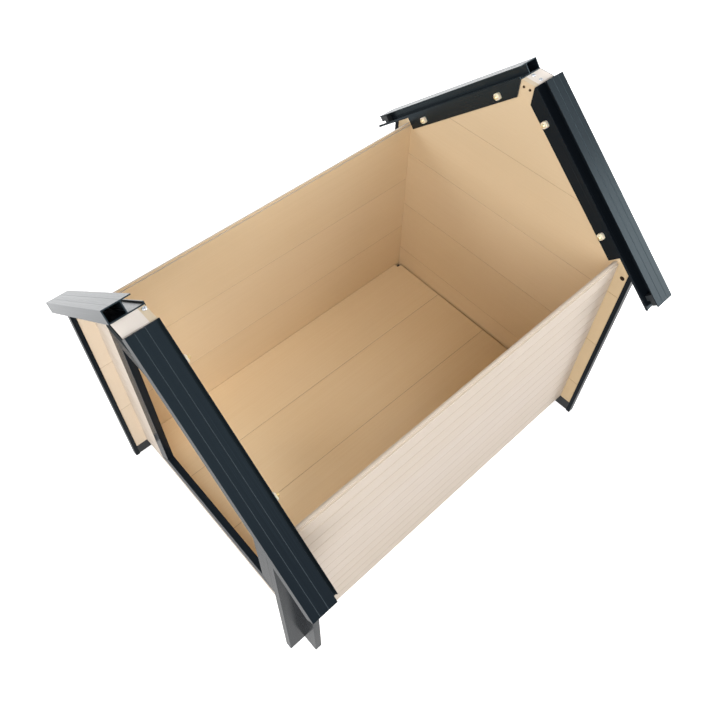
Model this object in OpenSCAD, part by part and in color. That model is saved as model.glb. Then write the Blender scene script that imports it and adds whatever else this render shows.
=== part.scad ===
// Dog house of tongued planks that cross at the corners like a log cabin, shown with its roof panels off.
// Width runs along X, length along Y with the doorway facing -Y, and Z is up from the ground.

/* [House] */
// Clear width inside, between the side walls
inner_w = 700; // [640:10:780]
// Clear length inside, between the gables
inner_l = 1008; // [800:8:1200]
// Thickness of every plank
plank_t = 14; // [11:0.5:18]
// Height that one plank covers
plank_h = 200; // [180:4:230]
// Length of plank that runs past the wall it crosses
wing = 44; // [36:1:60]
// Height of the feet under the walls
foot_h = 40; // [30:1:70]

/* [Plank joints] */
// Thickness of the tongue on a plank's upper edge
tongue_t = 4.6; // [3:0.2:6]
// Height of that tongue
tongue_h = 5.5; // [4:0.5:10]
// Play of a tongue in its groove, on each side and at the bottom
tongue_play = 0.3; // [0.1:0.05:0.6]
// Play of a notch beside the plank it crosses
notch_play = 0.3; // [0.1:0.05:0.6]
// Depth of the fine grooves on the outer faces
groove_d = 1.2; // [0.6:0.1:2]
// Width of those grooves
groove_w = 2.6; // [1.6:0.2:4]
// Bevel along a plank's inner edges
edge_bevel = 0.8; // [0.4:0.1:1.5]

/* [Roof line] */
// Pitch of the roof in degrees
roof_pitch = 41; // [34:1:46]
// Height of the roof line over the side walls, at their inner face
eave_gap = 23.5; // [15:0.5:40]
// Width of the flat on top of each gable
apex_flat = 37; // [34:1:44]

/* [Rails] */
// Height of the rail's section, square to the roof
rail_h = 28.5; // [22:0.5:40]
// Width of the rail's hollow box
rail_box = 38; // [28:1:48]
// Width of the lip over the roof panel's slot
rail_lip = 20; // [10:1:24]
// Wall of the rail's profile
rail_wall = 2.5; // [1.5:0.1:4]
// Height of the stop along the slot's inner edge
rail_stop = 4; // [2:0.5:6]
// Depth of the flange that lies on the gable
rail_flange = 35; // [30:1:42]
// Distance that the rail stands out from the gable
rail_out = 54.5; // [50:0.5:70]
// Distance from the ridge to the end of a rail, along the roof
rail_apex = 27; // [25:1:32]
// Distance that a rail runs past the corner, level
rail_over = 65; // [30:1:110]
// Gap from the flange's lower end to the side wall
flange_gap = 12; // [10:0.5:20]
// Width of the two fine lines along a rail's top
line_w = 1.6; // [0.8:0.1:2.4]
// Depth of those lines
line_d = 0.8; // [0.4:0.1:1.2]
// Spacing of those lines
line_pitch = 20; // [10:1:24]
// Distance of the outer line from the rail's outer face
line_inset = 17.5; // [6:0.5:30]
// Length of the plug that closes the slot at a rail's lower end
plug_l = 30; // [20:1:44]
// Width of that plug, out from the slot's inner side
plug_w = 17; // [10:0.5:19]
// Height of the step under the plug's outer half
plug_step = 8; // [4:0.5:12]
// Distance from the plug to the rail's end
plug_inset = 3; // [1:0.5:8]

/* [Corner profiles] */
// Wall of the corner profiles
corner_wall = 2; // [1.2:0.1:3]
// Width of the lip round the end of each plank
corner_lip = 12; // [8:0.5:16]

/* [Doorway] */
// Clear width of the doorway
door_w = 420; // [360:4:500]
// Height of the sill over the floor
sill_rise = 54; // [36:1:68]
// Height of the doorway's head over the plank joint below it
head_rise = 100; // [40:2:120]
// Wall of the door frame's channel
frame_wall = 2; // [1.5:0.5:4]
// Width of the door frame's face, outside
frame_face = 43; // [24:1:46]
// Width of the door frame's lip, inside
frame_lip = 20; // [14:1:24]

/* [Floor] */
// Height of the floor's top over the bottom of the walls
floor_rise = 24; // [20:1:34]
// Width of the first floor plank, from the left wall
floor_first = 195; // [150:1:200]
// Gap from the floor to each gable
floor_gap = 5; // [5:0.5:12]
// Gap from the floor to each side wall
floor_side_gap = 0.5; // [0.2:0.1:2]
// Side of the cut at each corner of the floor
floor_notch = 15; // [8:1:24]
// Width of a floor bearer
bearer_w = 58; // [40:1:70]
// Height of the ledge on each foot
ledge_h = 20; // [12:1:24]
// Length of that ledge past the bearer it carries
ledge_margin = 2; // [1:0.5:6]
// Distance that the ledge itself reaches under each wall
ledge_lap = 1.5; // [1:0.5:3]
// Width of the strip by which a foot reaches under each wall
foot_strip = 5; // [3:0.5:8]
// Height of that strip's underside over the ground
strip_rise = 12; // [8:1:12]

/* [Apex] */
// Width of the block under the two rails
block_w = 76; // [70:2:80]
// Height of that block
block_h = 22; // [20:1:40]
// Thickness of the plate on its outer end
plate_t = 2; // [1:0.5:4]

/* [Fasteners] */
// Diameter of the rail bolts
bolt_d = 8; // [6:0.5:10]
// Diameter of their cup heads
bolt_head_d = 18; // [14:0.5:20]
// Height of their cup heads
bolt_head_h = 4.5; // [3:0.5:6]
// Distance of the bolts under the roof line, square to it
bolt_gauge = 19; // [16:0.5:24]
// Distance from a rail's upper end to its upper bolt
bolt_top = 86; // [70:1:140]
// Distance from a flange's lower end to the lower bolt
bolt_eave = 66; // [30:1:90]
// Width of the square nuts
nut_w = 17; // [15:0.5:20]
// Thickness of those nuts
nut_h = 8; // [6:0.5:12]
// Radius of a nut's corners
nut_r = 5; // [2:0.5:7]
// Length of bolt that stands out past its nut
bolt_end = 6; // [2:0.5:8]
// Diameter of the open hole near the top of each gable wing
wing_hole_d = 12; // [8:0.5:14]
// Distance of that hole under the roof line, plumb
wing_hole_drop = 32; // [24:1:60]
// Play around a bolt or a screw, on the radius
bore_play = 0.15; // [0.1:0.05:0.4]
// Diameter of the screws' shanks
screw_d = 4; // [3:0.2:5]
// Diameter of the screws' heads
screw_head_d = 8; // [6:0.5:9]
// Height of the screws' heads
screw_head_h = 2.6; // [1.5:0.1:3.5]
// Length of the short screws at the apex
apex_screw_l = 9; // [6:0.5:9]
// Diameter of their heads
apex_head_d = 10; // [7:0.5:10]
// Distance of those screws from the middle
apex_screw_x = 11; // [9:0.5:12]
// Length of the screws that hold the apex blocks
block_screw_l = 34; // [24:1:50]
// Diameter of their heads
block_head_d = 6.5; // [6:0.5:8]
// Spacing of those screws
block_screw_pitch = 18; // [14:1:24]
// Distance of those screws under the gable's flat top
block_screw_drop = 15; // [13:0.5:17]
// Depth of the floor screws in the floor planks
floor_screw_bite = 9; // [6:0.5:10]
// Length of the floor screws
floor_screw_l = 35; // [28:0.5:36]

/* [Hidden] */

$fn = 48;

// Signs that name the two sides and the two ends
LEFT = -1;
RIGHT = 1;
FRONT = -1;
BACK = 1;

// Full planks in a side wall, last plank of a gable counted from 0, and the one the doorway's head is cut in
SIDE_COURSES = 3;
TOP_COURSE = 4;
HEAD_COURSE = 3;

// Planks in the floor, and slats that the fine grooves divide a plank into
FLOOR_PLANKS = 4;
SLATS = 4;

// Shape of a bolt's cup head: heights of rim and shoulder, then radii of shoulder and crown
CUP_RIM = 0.25;
CUP_SHOULDER = 0.75;
CUP_SHOULDER_R = 0.77;
CUP_CROWN_R = 0.4;

// Shape of a screw's pan head: height of the rim and radius of the crown
PAN_RIM = 0.4;
PAN_CROWN_R = 0.7;

// Colours of the finishes
TAN = "#dcc3a0";
DARK = "#2c3338";
NYLON = "#e6cfa8";
ZINC = "#c9cccf";
BRONZE = "#5a4632";

// Reach of a cutting tool past what it cuts, and a length larger than the house
over = 1;
big = 2 * (inner_w + inner_l);

// Planes of the walls
x_in = inner_w / 2;
x_out = x_in + plank_t;
y_in = inner_l / 2;
y_out = y_in + plank_t;
side_l = 2 * (y_out + wing);
gable_l = 2 * (x_out + wing);

// Heights of the courses, the floor and the roof line
notch_h = plank_h / 4;
wall_top = foot_h + SIDE_COURSES * plank_h + tongue_h;
floor_top = foot_h + floor_rise;
floor_bottom = floor_top - plank_t;
eave_z = wall_top + eave_gap;
ridge_z = roof_z(0);
apex_z = roof_z(apex_flat / 2);

// Places along a rail, measured down the roof from the ridge
rail_end = (x_out + wing + rail_over) / cos(roof_pitch);
flange_end = (x_in - flange_gap + rail_flange * sin(roof_pitch)) / cos(roof_pitch);
bolt_spots = [rail_apex + bolt_top, flange_end - bolt_eave];

// Places across a rail, measured out from the gable's inner face
rail_outer = plank_t + rail_out;
rail_web = rail_outer - rail_box;
rail_tip = rail_web - rail_lip;

// The open hole in each gable wing
wing_hole_x = x_out + wing / 2;
wing_hole_z = roof_z(wing_hole_x) - wing_hole_drop;

// The doorway
sill_z = floor_top + sill_rise;
head_z = gable_z(HEAD_COURSE) + head_rise;

// The bearers and the screws that hold the floor on them
bearer_gap = floor_side_gap;
bearer_y = y_in - 2 * floor_side_gap - bearer_w / 2;
ledge = bearer_w + 2 * floor_side_gap + ledge_margin;
floor_screw_z = floor_bottom + floor_screw_bite - floor_screw_l;
floor_joints = [-x_in + floor_side_gap, floor_first - x_in, floor_first - x_in + plank_h,
                floor_first - x_in + 2 * plank_h, x_in - floor_side_gap];

// The short screws at the apex: one on the front gable's flat top, two on the back block
apex_spots = [[-apex_screw_x, -y_in - apex_head_d / 2], [-apex_screw_x, y_out + rail_out / 3],
              [apex_screw_x, y_out + rail_out / 3]];

// Length of a bolt's shank, from under its head
bolt_reach = plank_t + rail_wall + nut_h + bolt_end;

// Height of the roof line at a distance from the middle
function roof_z(x) = eave_z + (x_in - abs(x)) * tan(roof_pitch);

// Bottom of a side plank, counted from 0
function side_z(course) = foot_h + course * plank_h;

// Bottom of a gable plank, counted from 0, where the first is half a plank
function gable_z(course) = course == 0 ? foot_h : foot_h + (course - 0.5) * plank_h;

// Top of a gable plank, where the last one ends in the flat at the apex
function gable_top(course) = course == TOP_COURSE ? apex_z : gable_z(course + 1);

// Place of a bolt on a gable, from its distance down the roof
function bolt_xz(s) = [s * cos(roof_pitch) - bolt_gauge * sin(roof_pitch),
                       ridge_z - s * sin(roof_pitch) - bolt_gauge * cos(roof_pitch)];

// One V groove on a face at u, as three points of an outline that runs upward
function v_groove(u, z, w, d) = [[u, z - w / 2], [u - d, z], [u, z + w / 2]];

// Outer face of a plank from bottom to top, with a groove at each slat that clears the bevel at the top
function grooved_face(h) = [
    for (k = [1 : floor((h - 2 * groove_w) / (plank_h / SLATS))])
        each v_groove(plank_t, k * plank_h / SLATS, groove_w, groove_d)
];

// Half thickness of the tongue and of the groove that takes it
tongue_r = tongue_t / 2;
slot_r = tongue_r + tongue_play;

// Outline of a plank: thickness from its inner face, then height, with bevels on top where a plank joins on
function plank_outline(h, tongue, slot, grooved, joined) = concat(
    [[0, edge_bevel], [edge_bevel, 0]],
    slot ? [[plank_t / 2 - slot_r, 0], [plank_t / 2 - slot_r, tongue_h + tongue_play],
            [plank_t / 2 + slot_r, tongue_h + tongue_play], [plank_t / 2 + slot_r, 0]] : [],
    [[plank_t - groove_d, 0], [plank_t, groove_w / 2]],
    grooved ? grooved_face(h) : [],
    joined ? [[plank_t, h - groove_w / 2], [plank_t - groove_d, h]] : [[plank_t, h]],
    tongue ? [[plank_t / 2 + tongue_r, h], [plank_t / 2 + tongue_r, h + tongue_h],
              [plank_t / 2 - tongue_r, h + tongue_h], [plank_t / 2 - tongue_r, h]] : [],
    joined ? [[edge_bevel, h], [0, h - edge_bevel]] : [[0, h]]
);

// A plank along Y, with its inner face on X = 0 and its outer face towards +X
module plank_bar(length, h, tongue, slot, grooved, joined) {
    rotate([90, 0, 0])
        linear_extrude(length, center = true)
            polygon(plank_outline(h, tongue, slot, grooved, joined));
}

// Everything above the roof line
module above_roof() {
    rotate([90, 0, 0])
        linear_extrude(big, center = true)
            polygon([[-big, roof_z(big)], [0, ridge_z], [big, roof_z(big)], [big, ridge_z + big],
                     [-big, ridge_z + big]]);
}

// Cut for a wall that crosses, across the thickness of a plank along Y
module crossing_cut(at, z0, z1) {
    for (end = [-1, 1])
        translate([-over, end * (at + plank_t / 2) - plank_t / 2 - notch_play, z0])
            cube([plank_t + 2 * over, plank_t + 2 * notch_play, z1 - z0]);
}

// A plank of a side wall, notched at both ends of the room; the last one's tongue is the rim of the wall
module side_plank(side, course) {
    z = side_z(course);
    last = course == SIDE_COURSES - 1;
    color(TAN)
        mirror([side == LEFT ? 1 : 0, 0, 0])
            translate([x_in, 0, 0])
                difference() {
                    translate([0, 0, z])
                        plank_bar(side_l, plank_h, tongue = true, slot = course > 0, grooved = true,
                                  joined = !last);
                    crossing_cut(y_in, z - over, z + notch_h);
                    crossing_cut(y_in, z + plank_h - notch_h, z + plank_h + tongue_h + over);
                }
}

// A whole plank of a gable, before a doorway is cut in it, on the back wall
module gable_blank(course) {
    z = gable_z(course);
    top = gable_top(course);
    joined = course < TOP_COURSE;
    difference() {
        translate([0, y_in, 0])
            rotate([0, 0, 90])
                difference() {
                    translate([0, 0, z])
                        plank_bar(gable_l, top - z, tongue = joined, slot = course > 0, grooved = true,
                                  joined = joined);
                    if (course > 0 && joined)
                        crossing_cut(x_in, z - over, z + notch_h);
                    if (course < HEAD_COURSE)
                        crossing_cut(x_in, top - notch_h, top + tongue_h + over);
                }
        above_roof();
        for (side = [LEFT, RIGHT]) {
            for (s = bolt_spots)
                translate([side * bolt_xz(s)[0], 0, bolt_xz(s)[1]])
                    wall_bore(bolt_d / 2 + bore_play);
            translate([side * wing_hole_x, 0, wing_hole_z])
                wall_bore(wing_hole_d / 2);
            translate([side * block_screw_pitch / 2, 0, apex_z - block_screw_drop])
                wall_bore(screw_d / 2 + bore_play);
        }
    }
}

// A bore along Y through the back gable
module wall_bore(r) {
    translate([0, y_in - over, 0])
        rotate([-90, 0, 0])
            cylinder(r = r, h = plank_t + 2 * over);
}

// Turns what stands on the back wall to the front wall
module at_end(end) {
    mirror([0, end == FRONT ? 1 : 0, 0])
        children();
}

// Turns what stands at the back right corner to another corner
module at_corner(side, end) {
    mirror([side == LEFT ? 1 : 0, 0, 0])
        at_end(end)
            children();
}

module back_plank(course) {
    color(TAN)
        gable_blank(course);
}

// A front plank, less the doorway and the channel that lines it
module front_plank(course) {
    color(TAN)
        difference() {
            at_end(FRONT)
                gable_blank(course);
            translate([-door_w / 2 - frame_wall, -y_out - over, sill_z - frame_wall])
                cube([door_w + 2 * frame_wall, plank_t + 2 * over, head_z - sill_z + 2 * frame_wall]);
            apex_bores();
        }
}

// The part of a front plank on one side of the doorway
module front_half_plank(course, side) {
    intersection() {
        front_plank(course);
        translate([side == LEFT ? -big : 0, -big, 0])
            cube([big, 2 * big, big]);
    }
}

// A floor plank, counted from 0 at the left wall, with its tongue towards the right wall
module floor_plank(index) {
    x0 = floor_joints[index];
    w = floor_joints[index + 1] - x0;
    joined = index < FLOOR_PLANKS - 1;
    color(TAN)
        difference() {
            translate([x0, 0, floor_top])
                rotate([0, 90, 0])
                    plank_bar(2 * (y_in - floor_gap), w, tongue = joined, slot = index > 0, grooved = false,
                              joined = joined);
            for (side = [LEFT, RIGHT], end = [FRONT, BACK])
                translate([side * x_in, end * (y_in - floor_gap), floor_top])
                    cube([2 * (floor_notch + floor_side_gap), 2 * floor_notch, 2 * (plank_t + over)],
                         center = true);
            for (row = [-1 : 1])
                translate([x0 + w / 2, row * bearer_y, floor_screw_z])
                    cylinder(r = screw_d / 2 + bore_play, h = floor_screw_l + bore_play);
        }
}

// A floor bearer across the house, on the ledges of the feet or on the ground
module bearer(row) {
    bottom = row == 0 ? 0 : ledge_h;
    color(DARK)
        difference() {
            translate([-x_in + bearer_gap, row * bearer_y - bearer_w / 2, bottom])
                cube([2 * (x_in - bearer_gap), bearer_w, floor_bottom - bottom]);
            for (index = [0 : FLOOR_PLANKS - 1])
                translate([(floor_joints[index] + floor_joints[index + 1]) / 2, row * bearer_y, 0]) {
                    translate([0, 0, -over])
                        cylinder(r = screw_head_d / 2 + bore_play, h = floor_screw_z + over);
                    cylinder(r = screw_d / 2 + bore_play, h = floor_top);
                }
        }
}

// Plan of a corner profile, from the corner where the outer faces of the walls cross
module corner_plan() {
    reach = wing + corner_wall;
    for (flip = [0, 1])
        mirror([flip, -flip]) {
            square([reach, corner_wall]);
            translate([wing, -plank_t - corner_wall])
                square([corner_wall, plank_t + 2 * corner_wall]);
            translate([reach - corner_lip, -plank_t - corner_wall])
                square([corner_lip, corner_wall]);
        }
}

// A corner profile from the ground to the rail, round the ends of both walls
module corner_profile(side, end) {
    color(DARK)
        at_corner(side, end)
            difference() {
                translate([x_out, y_out, 0])
                    linear_extrude(ridge_z)
                        corner_plan();
                above_roof();
                translate([wing_hole_x, y_out - over, wing_hole_z])
                    rotate([-90, 0, 0])
                        cylinder(r = wing_hole_d / 2, h = corner_wall + 2 * over);
            }
}

// A foot under the crossing walls, with a ledge inside for a bearer
module foot(side, end) {
    color(DARK)
        at_corner(side, end)
            translate([x_out, y_out, 0]) {
                for (flip = [0, 1])
                    mirror([flip, -flip, 0]) {
                        translate([-plank_t, -plank_t, 0])
                            cube([plank_t + wing, plank_t, foot_h]);
                        translate([-plank_t - ledge, -plank_t, strip_rise])
                            cube([plank_t + ledge, foot_strip, foot_h - strip_rise]);
                    }
                translate([-plank_t - ledge, -plank_t - ledge, 0])
                    cube([ledge + ledge_lap, ledge + ledge_lap, ledge_h]);
            }
}

// Section of a rail: distance out from the gable's inner face, then height square to the roof
module rail_section() {
    lines = [rail_outer - line_inset - line_pitch, rail_outer - line_inset];
    difference() {
        polygon(concat(
            [[-rail_wall, 0], [rail_outer, 0], [rail_outer, rail_h]],
            [for (k = [1, 0]) each [[lines[k] + line_w / 2, rail_h], [lines[k], rail_h - line_d],
                                   [lines[k] - line_w / 2, rail_h]]],
            [[rail_tip, rail_h], [rail_tip, rail_h - rail_wall], [rail_web, rail_h - rail_wall],
             [rail_web, rail_wall], [0, rail_wall], [0, rail_wall + rail_stop],
             [-rail_wall, rail_wall + rail_stop]]));
        translate([rail_web + rail_wall, rail_wall])
            square([rail_box - 2 * rail_wall, rail_h - 2 * rail_wall]);
    }
}

// A rail on one slope of one gable, with its flange bolted to the inner face
module rail(side, end) {
    color(DARK)
        at_corner(side, end)
            translate([0, y_in, ridge_z])
                rotate([0, roof_pitch, 0]) {
                    translate([rail_apex, 0, 0])
                        rotate([90, 0, 90])
                            linear_extrude(rail_end - rail_apex)
                                rail_section();
                    difference() {
                        rotate([90, 0, 0])
                            linear_extrude(rail_wall)
                                polygon([[rail_apex, 0], [flange_end, 0], [flange_end, -rail_flange],
                                         [rail_apex + rail_flange * tan(roof_pitch), -rail_flange]]);
                        for (s = bolt_spots)
                            translate([s, over, -bolt_gauge])
                                rotate([90, 0, 0])
                                    cylinder(r = bolt_d / 2 + bore_play, h = rail_wall + 2 * over);
                    }
                }
}

// Plugs in the lower ends of the slots, each stepped so that water can run out under its outer half
module rail_plugs() {
    color(DARK)
        for (side = [LEFT, RIGHT], end = [FRONT, BACK])
            at_corner(side, end)
                translate([0, y_in + rail_web, ridge_z])
                    rotate([0, roof_pitch, 0])
                        rotate([90, 0, 0])
                            translate([rail_end - plug_inset - plug_l, rail_wall, 0])
                                linear_extrude(plug_w)
                                    polygon([[0, 0], [plug_l / 2, 0], [plug_l / 2, plug_step],
                                             [plug_l, plug_step], [plug_l, rail_h - 2 * rail_wall],
                                             [0, rail_h - 2 * rail_wall]]);
}

// Puts what is drawn at the back gable's inner face at every rail bolt
module at_bolts() {
    for (side = [LEFT, RIGHT], end = [FRONT, BACK], s = bolt_spots)
        at_end(end)
            translate([side * bolt_xz(s)[0], y_in, bolt_xz(s)[1]])
                rotate([0, side * roof_pitch, 0])
                    children();
}

// Carriage bolts from outside, each reaching past its nut
module rail_bolts() {
    head_r = bolt_head_d / 2;
    color(ZINC)
        at_bolts()
            translate([0, plank_t, 0])
                rotate([90, 0, 0]) {
                    cylinder(d = bolt_d, h = bolt_reach);
                    rotate_extrude()
                        polygon([[0, 0], [head_r, 0], [head_r, -CUP_RIM * bolt_head_h],
                                 [CUP_SHOULDER_R * head_r, -CUP_SHOULDER * bolt_head_h],
                                 [CUP_CROWN_R * head_r, -bolt_head_h], [0, -bolt_head_h]]);
                }
}

// Square nuts with round corners, on the flanges
module rail_nuts() {
    flat = nut_w - 2 * nut_r;
    color(NYLON)
        at_bolts()
            translate([0, -rail_wall, 0])
                rotate([90, 0, 0])
                    difference() {
                        union() {
                            translate([-nut_w / 2, -flat / 2, 0])
                                cube([nut_w, flat, nut_h]);
                            translate([-flat / 2, -nut_w / 2, 0])
                                cube([flat, nut_w, nut_h]);
                            for (u = [-1, 1], v = [-1, 1])
                                translate([u * flat / 2, v * flat / 2, 0])
                                    cylinder(r = nut_r, h = nut_h);
                        }
                        translate([0, 0, -over])
                            cylinder(r = bolt_d / 2 + bore_play, h = nut_h + 2 * over);
                    }
}

// One side of a ring around the doorway, cut to a mitre at both ends
module ring_side(which, w) {
    u = door_w / 2;
    inner = [[-u, sill_z], [-u, head_z], [u, head_z], [u, sill_z]];
    outer = [[-u - w, sill_z - w], [-u - w, head_z + w], [u + w, head_z + w], [u + w, sill_z - w]];
    next = (which + 1) % 4;
    polygon([inner[which], inner[next], outer[next], outer[which]]);
}

// One side of the door frame: 0 left, 1 head, 2 right, 3 sill
module frame_side(which) {
    depth = plank_t + 2 * frame_wall;
    color(DARK)
        translate([0, -y_in + frame_wall, 0])
            rotate([90, 0, 0]) {
                linear_extrude(depth)
                    ring_side(which, frame_wall);
                linear_extrude(frame_wall)
                    ring_side(which, frame_lip);
                translate([0, 0, depth - frame_wall])
                    linear_extrude(frame_wall)
                        ring_side(which, frame_face);
            }
}

// Outline of the apex block and its plate, under the roof line
module apex_outline() {
    half = block_w / 2;
    polygon([[-half, apex_z - block_h], [half, apex_z - block_h], [half, roof_z(half)],
             [apex_flat / 2, apex_z], [-apex_flat / 2, apex_z], [-half, roof_z(half)]]);
}

// Stands an outline of X and Z on the outside of the back gable
module outside_slab(from, thickness) {
    translate([0, y_out + from + thickness, 0])
        rotate([90, 0, 0])
            linear_extrude(thickness)
                children();
}

// The block that carries the upper ends of two rails
module apex_block(end) {
    bite = block_screw_l - plank_t + bore_play;
    color(TAN)
        at_end(end)
            difference() {
                outside_slab(0, rail_out - plate_t)
                    apex_outline();
                for (side = [LEFT, RIGHT])
                    translate([side * block_screw_pitch / 2, y_out - over, apex_z - block_screw_drop])
                        rotate([-90, 0, 0])
                            cylinder(r = screw_d / 2 + bore_play, h = bite + over);
                at_end(end)
                    apex_bores();
            }
}

// The dark plate on the block's outer end
module apex_plate(end) {
    color(DARK)
        at_end(end)
            outside_slab(rail_out - plate_t, plate_t)
                apex_outline();
}

// A screw whose head stands up from Z = 0 and whose shank runs down
module screw(length, head_d = screw_head_d) {
    rotate_extrude()
        polygon([[0, -length], [screw_d / 2, -length], [screw_d / 2, 0], [head_d / 2, 0],
                 [head_d / 2, PAN_RIM * screw_head_h], [PAN_CROWN_R * head_d / 2, screw_head_h],
                 [0, screw_head_h]]);
}

// Screws through each gable into its apex block, with their heads inside
module block_screws() {
    color(BRONZE)
        for (end = [FRONT, BACK], side = [LEFT, RIGHT])
            at_end(end)
                translate([side * block_screw_pitch / 2, y_in, apex_z - block_screw_drop])
                    rotate([90, 0, 0])
                        screw(block_screw_l, block_head_d);
}

// Puts what is drawn at the origin at each short screw of the apex
module at_apex_spots() {
    for (spot = apex_spots)
        translate([spot[0], spot[1], apex_z])
            children();
}

// Bores for those screws, in the front gable and in the back block
module apex_bores() {
    at_apex_spots()
        translate([0, 0, -apex_screw_l - bore_play])
            cylinder(r = screw_d / 2 + bore_play, h = apex_screw_l + over);
}

// Short screws at the apex
module apex_screws() {
    color(ZINC)
        at_apex_spots()
            screw(apex_screw_l, apex_head_d);
}

// Screws up through the bearers into the floor planks
module floor_screws() {
    color(ZINC)
        for (row = [-1 : 1], index = [0 : FLOOR_PLANKS - 1])
            translate([(floor_joints[index] + floor_joints[index + 1]) / 2, row * bearer_y, floor_screw_z])
                rotate([180, 0, 0])
                    screw(floor_screw_l);
}

side_plank(LEFT, 0);  // left_plank_1
side_plank(LEFT, 1);  // left_plank_2
side_plank(LEFT, 2);  // left_plank_3
side_plank(RIGHT, 0);  // right_plank_1
side_plank(RIGHT, 1);  // right_plank_2
side_plank(RIGHT, 2);  // right_plank_3
back_plank(0);  // back_plank_1
back_plank(1);  // back_plank_2
back_plank(2);  // back_plank_3
back_plank(3);  // back_plank_4
back_plank(4);  // back_plank_5
front_plank(0);  // front_plank_1
front_half_plank(1, LEFT);  // front_plank_2_left
front_half_plank(1, RIGHT);  // front_plank_2_right
front_half_plank(2, LEFT);  // front_plank_3_left
front_half_plank(2, RIGHT);  // front_plank_3_right
front_plank(3);  // front_plank_4
front_plank(4);  // front_plank_5
floor_plank(0);  // floor_plank_1
floor_plank(1);  // floor_plank_2
floor_plank(2);  // floor_plank_3
floor_plank(3);  // floor_plank_4
bearer(-1);  // bearer_front
bearer(0);  // bearer_centre
bearer(1);  // bearer_back
corner_profile(LEFT, FRONT);  // corner_front_left
corner_profile(RIGHT, FRONT);  // corner_front_right
corner_profile(LEFT, BACK);  // corner_back_left
corner_profile(RIGHT, BACK);  // corner_back_right
foot(LEFT, FRONT);  // foot_front_left
foot(RIGHT, FRONT);  // foot_front_right
foot(LEFT, BACK);  // foot_back_left
foot(RIGHT, BACK);  // foot_back_right
rail(LEFT, FRONT);  // rail_front_left
rail(RIGHT, FRONT);  // rail_front_right
rail(LEFT, BACK);  // rail_back_left
rail(RIGHT, BACK);  // rail_back_right
rail_plugs();
rail_bolts();
rail_nuts();
frame_side(0);  // door_jamb_left
frame_side(2);  // door_jamb_right
frame_side(1);  // door_head
frame_side(3);  // door_sill
apex_block(FRONT);  // apex_block_front
apex_block(BACK);  // apex_block_back
apex_plate(FRONT);  // apex_plate_front
apex_plate(BACK);  // apex_plate_back
block_screws();
apex_screws();
floor_screws();
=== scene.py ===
"""Looks of a dog house of crossed planks: finishes, rounded profiles, fasteners, studio light and camera."""

import logging
import math
from dataclasses import dataclass, field
from enum import Enum
from typing import Callable, Iterable, Mapping, Optional, Sequence, Union

import bmesh
import bpy
from mathutils import Euler, Matrix, Vector


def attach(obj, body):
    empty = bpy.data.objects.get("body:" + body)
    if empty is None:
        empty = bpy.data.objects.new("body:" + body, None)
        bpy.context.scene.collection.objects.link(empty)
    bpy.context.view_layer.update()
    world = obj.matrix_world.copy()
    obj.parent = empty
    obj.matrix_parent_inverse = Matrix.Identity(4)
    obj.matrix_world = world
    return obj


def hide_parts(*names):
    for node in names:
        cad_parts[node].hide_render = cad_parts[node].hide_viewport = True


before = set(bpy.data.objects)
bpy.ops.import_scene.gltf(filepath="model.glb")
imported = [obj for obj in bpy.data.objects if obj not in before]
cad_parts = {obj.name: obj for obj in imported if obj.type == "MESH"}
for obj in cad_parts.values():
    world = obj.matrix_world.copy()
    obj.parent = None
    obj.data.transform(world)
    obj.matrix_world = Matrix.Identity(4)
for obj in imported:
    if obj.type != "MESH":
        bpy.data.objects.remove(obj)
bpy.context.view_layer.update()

LOG = logging.getLogger("dog_house")
BODY = "root"

# Sockets of a mix node that is set to colours, which share their names with its sockets for other types
MIX_FACTOR, MIX_A, MIX_B, MIX_RESULT = 0, 6, 7, 2

# Ranges of a pattern that count: noise seldom leaves its middle
MIDDLE = (0.3, 0.7)
WHOLE = (0.0, 1.0)

# Points closer than WELD_MM are one point, faces that turn less than FLAT are one face, edges over SHARP are
# rounded, and made fasteners are smoothed up to SMOOTH
WELD_MM = 0.002
FLAT = math.radians(0.4)
SHARP = math.radians(55.0)
SMOOTH = math.radians(35.0)

Colour = tuple[float, float, float, float]
Setting = Union[float, int, bool, str, Sequence[float], bpy.types.NodeSocket]
Ring = list[Vector]


class Axis(Enum):
    """Direction along which a piece was extruded or sawn."""

    X = 0
    Y = 1
    Z = 2


class Side(Enum):
    """Left or right of the doorway, seen from in front of it."""

    LEFT = -1
    RIGHT = 1


class End(Enum):
    """The doorway's end or the far end of the house."""

    FRONT = -1
    BACK = 1


def mm(length: float) -> float:
    """Millimetres to metres."""
    return length / 1000.0


def linear(hex_colour: str) -> Colour:
    """Turns an sRGB hex colour into the linear colour that a shader takes.

    Args:
        hex_colour: Six hex digits after a hash sign.

    Returns:
        Linear red, green and blue, with full alpha.
    """
    channels = []
    for start in (1, 3, 5):
        value = int(hex_colour[start:start + 2], 16) / 255.0
        channels.append(value / 12.92 if value <= 0.04045 else ((value + 0.055) / 1.055) ** 2.4)
    return (channels[0], channels[1], channels[2], 1.0)


def add_node(
    tree: bpy.types.NodeTree,
    kind: str,
    inputs: Optional[Mapping[Union[str, int], Setting]] = None,
    **settings: object,
) -> bpy.types.Node:
    """Adds a node with its settings, and sets or links its inputs.

    Args:
        tree: The node tree that gets the node.
        kind: The node's type name.
        inputs: Input name or number to a value, or to the socket that feeds it.
        **settings: The node's own properties.

    Returns:
        The new node.
    """
    node = tree.nodes.new(kind)
    for name, value in settings.items():
        setattr(node, name, value)
    for key, value in (inputs or {}).items():
        if isinstance(value, bpy.types.NodeSocket):
            tree.links.new(value, node.inputs[key])
        else:
            node.inputs[key].default_value = value
    return node


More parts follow.
